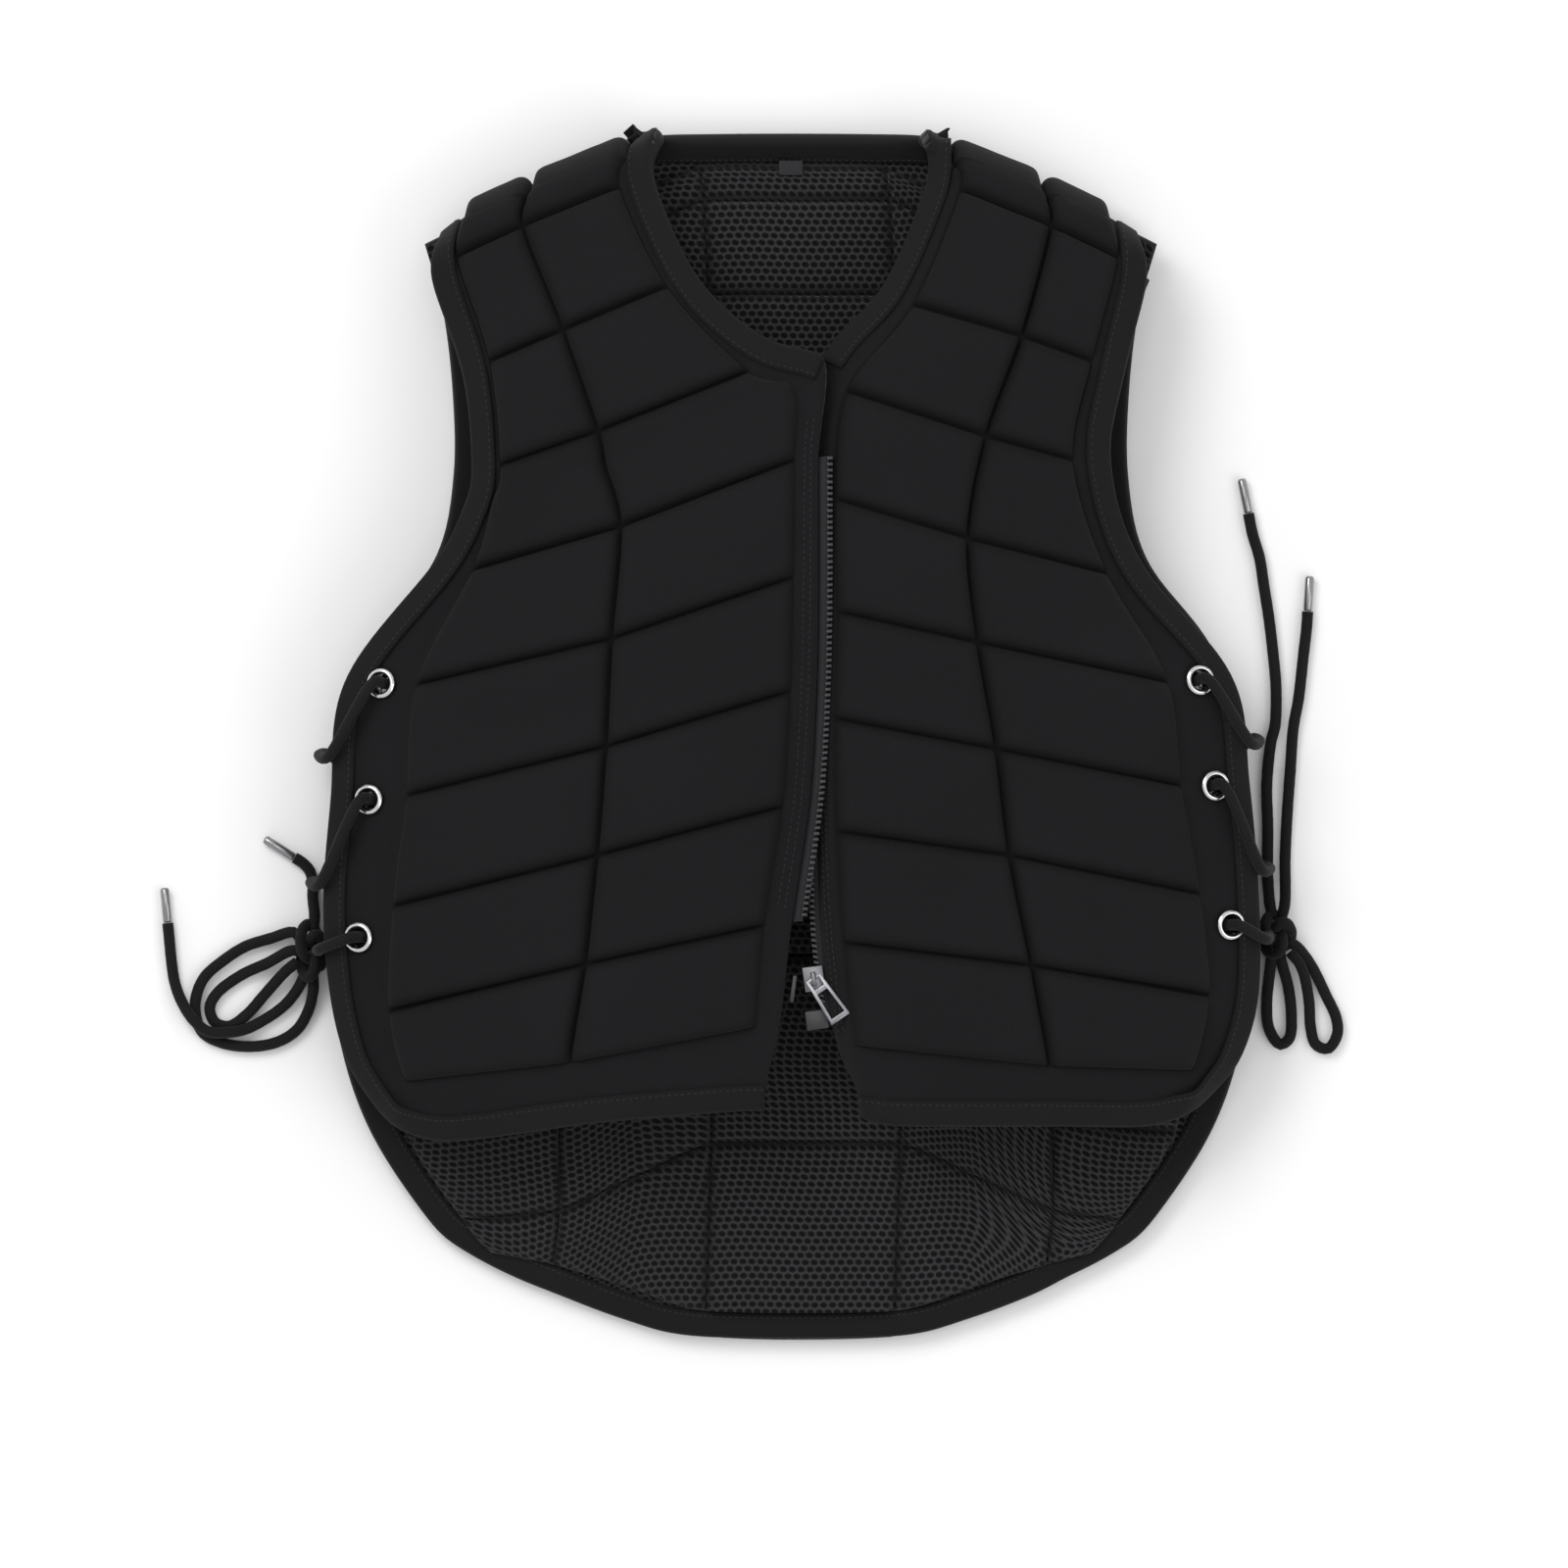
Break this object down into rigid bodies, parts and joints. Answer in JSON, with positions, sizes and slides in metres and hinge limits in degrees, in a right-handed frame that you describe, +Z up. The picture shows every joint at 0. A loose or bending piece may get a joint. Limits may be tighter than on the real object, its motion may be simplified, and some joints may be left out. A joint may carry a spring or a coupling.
{
  "type": "equestrian body protector vest",
  "caption": "Quilted foam riding body protector lying on its back with its front zip undone, laced sides, a long rounded tail and open neck, armholes and waist",
  "frame": {"origin": "on the surface below the middle of the vest's box, free laces left out", "axes": "+Y points to the neck, +X across the vest to the picture's right, +Z up through the fronts; the vest lies on its back"},
  "size_m": [0.5788, 0.5922, 0.0967],
  "materials": {
    "quilted_fabric": "matt black woven polyester over foam tiles",
    "tab_fabric": "small plain woven tab",
    "edge_binding": "smooth black folded elastic binding",
    "nickel": "bright nickel plated",
    "zip_tape": "fine woven black zip tape",
    "zip_teeth": "moulded black plastic",
    "gunmetal": "dark gunmetal plating",
    "lace_cord": "braided black elastic cord",
    "aglet_plastic": "shrunk black plastic tip"
  },
  "bodies": {
    "vest": {"front_left_panel": "quilted_fabric", "front_right_panel": "quilted_fabric", "back_panel": "quilted_fabric", "size_tab": "tab_fabric", "neck_binding": "edge_binding", "edge_binding_front_left": "edge_binding", "edge_binding_front_right": "edge_binding", "edge_binding_back": "edge_binding", "eyelet_front_left_1": "nickel", "eyelet_front_left_2": "nickel", "eyelet_front_left_3": "nickel", "eyelet_front_right_1": "nickel", "eyelet_front_right_2": "nickel", "eyelet_front_right_3": "nickel", "eyelet_back_left_1": "nickel", "eyelet_back_left_2": "nickel", "eyelet_back_left_3": "nickel", "eyelet_back_right_1": "nickel", "eyelet_back_right_2": "nickel", "eyelet_back_right_3": "nickel", "zip_tape_left": "zip_tape", "zip_tape_right": "zip_tape", "zip_teeth_left": "zip_teeth", "zip_teeth_right": "zip_teeth", "zip_pin": "zip_teeth", "zip_box": "zip_teeth", "zip_slider": "gunmetal", "lace_held_left": "lace_cord", "lace_held_right": "lace_cord", "lace_knot_left": "lace_cord", "lace_knot_right": "lace_cord", "lace_loop_left_1": "lace_cord", "lace_loop_left_2": "lace_cord", "lace_tail_left_1": "lace_cord", "lace_tail_left_2": "lace_cord", "lace_loop_right_1": "lace_cord", "lace_loop_right_2": "lace_cord", "lace_tail_right_1": "lace_cord", "lace_tail_right_2": "lace_cord", "lace_aglet_left_1": "aglet_plastic", "lace_aglet_left_2": "aglet_plastic", "lace_aglet_right_1": "aglet_plastic", "lace_aglet_right_2": "aglet_plastic"},
    "pull": {"zip_pull": "gunmetal"}
  },
  "joints": [
    {"name": "zip_pull_hinge", "type": "hinge", "parent": "vest", "child": "pull", "pos_m": [0.01115, -0.11958, 0.07856], "axis": [-0.829, -0.5592, 0], "range_deg": [0, 110]}
  ]
}
